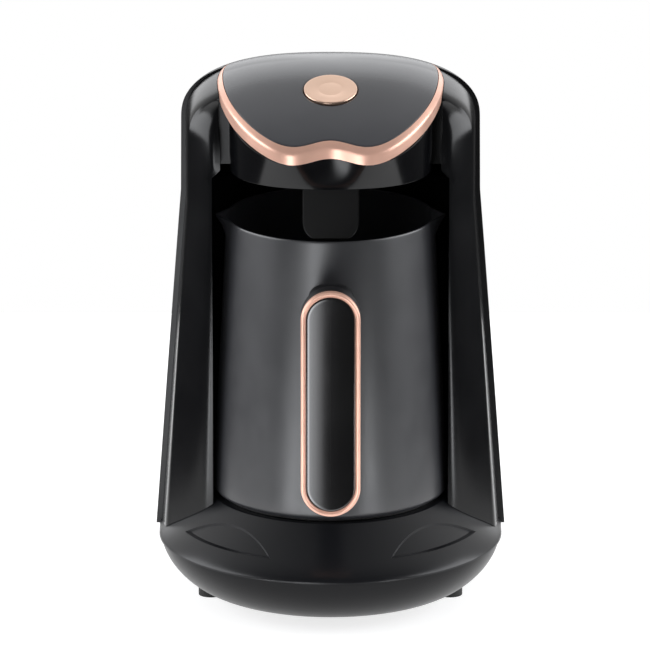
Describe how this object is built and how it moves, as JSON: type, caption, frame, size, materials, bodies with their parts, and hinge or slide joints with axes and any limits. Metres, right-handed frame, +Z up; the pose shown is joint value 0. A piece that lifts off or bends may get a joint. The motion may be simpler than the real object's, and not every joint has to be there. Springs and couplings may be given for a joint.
{
  "type": "electric turkish coffee maker",
  "caption": "Electric Turkish coffee maker: a domed housing with a push button on top holds a removable heated pot with two pouring lips and a front handle.",
  "frame": {"origin": "on the table, at the centre of the part's footprint", "axes": "+Z up, the pot's handle points to -Y, +X to the right seen from the front"},
  "size_m": [0.1592, 0.18, 0.2475],
  "materials": {
    "gloss_black": "polished piano black",
    "satin_black": "satin black, fine moulded grain",
    "deck_black": "semi-gloss black",
    "tongue_black": "semi-gloss black",
    "sensor_lens": "dark red filter",
    "pot_steel": "dark coated, finely brushed round",
    "rose_gold": "polished rose gold plating",
    "rose_gold_satin": "satin rose gold plating",
    "panel_graphite": "semi-gloss graphite black",
    "foot_rubber": "matt black",
    "seal_rubber": "silicone, brick red",
    "zinc_steel": "zinc plated",
    "spring_steel": "drawn wire",
    "chassis_steel": "galvanised sheet",
    "plate_aluminium": "turned",
    "element_steel": "heat-tinted",
    "pin_brass": "turned",
    "board_green": "solder mask",
    "relay_blue": "moulded",
    "transformer_core": "taped winding on a sheet core",
    "capacitor_sleeve": "shrink sleeve",
    "ceramic_white": "fired, unglazed"
  },
  "bodies": {
    "housing": {"base_tray": "satin_black", "feet": "foot_rubber", "foot_screws": "zinc_steel", "base_deck": "deck_black", "front_frame": "gloss_black", "rear_cover": "satin_black", "head_shell": "gloss_black", "head_underside": "satin_black", "sensor_tongue": "tongue_black", "foam_sensor": "sensor_lens", "top_trim": "rose_gold", "top_panel": "panel_graphite", "button_collar": "satin_black", "control_board": "board_green", "tact_switch": "satin_black", "board_screws": "zinc_steel", "chassis": "chassis_steel", "chassis_screws": "zinc_steel", "power_board": "board_green", "relay": "relay_blue", "transformer": "transformer_core", "capacitor": "capacitor_sleeve", "power_board_screws": "zinc_steel", "socket_block": "satin_black", "contact_pins": "pin_brass", "socket_screws": "zinc_steel", "cord_gland": "foot_rubber", "button_spring": "spring_steel"},
    "button": {"power_button": "rose_gold_satin"},
    "pot": {"pot_body": "pot_steel", "pot_floor_plate": "plate_aluminium", "heating_element": "element_steel", "thermostat": "ceramic_white", "thermal_fuse": "ceramic_white", "pot_base_cover": "satin_black", "pot_base_seal": "seal_rubber", "pot_base_screws": "zinc_steel", "plug_block": "satin_black", "handle_core": "satin_black", "handle_ring": "rose_gold", "handle_insert": "gloss_black", "handle_screws": "zinc_steel"}
  },
  "joints": [
    {"name": "button_press", "type": "slide", "parent": "housing", "child": "button", "axis": [0, 0.2957, -0.9553], "range_m": [0, 0.0012], "stiffness_N_per_m": 400, "springref_m": -0.002, "deforming": ["button_spring"]},
    {"name": "pot_slide", "type": "slide", "parent": "housing", "child": "pot", "axis": [0, -1, 0], "range_m": [0, 0.15]}
  ]
}
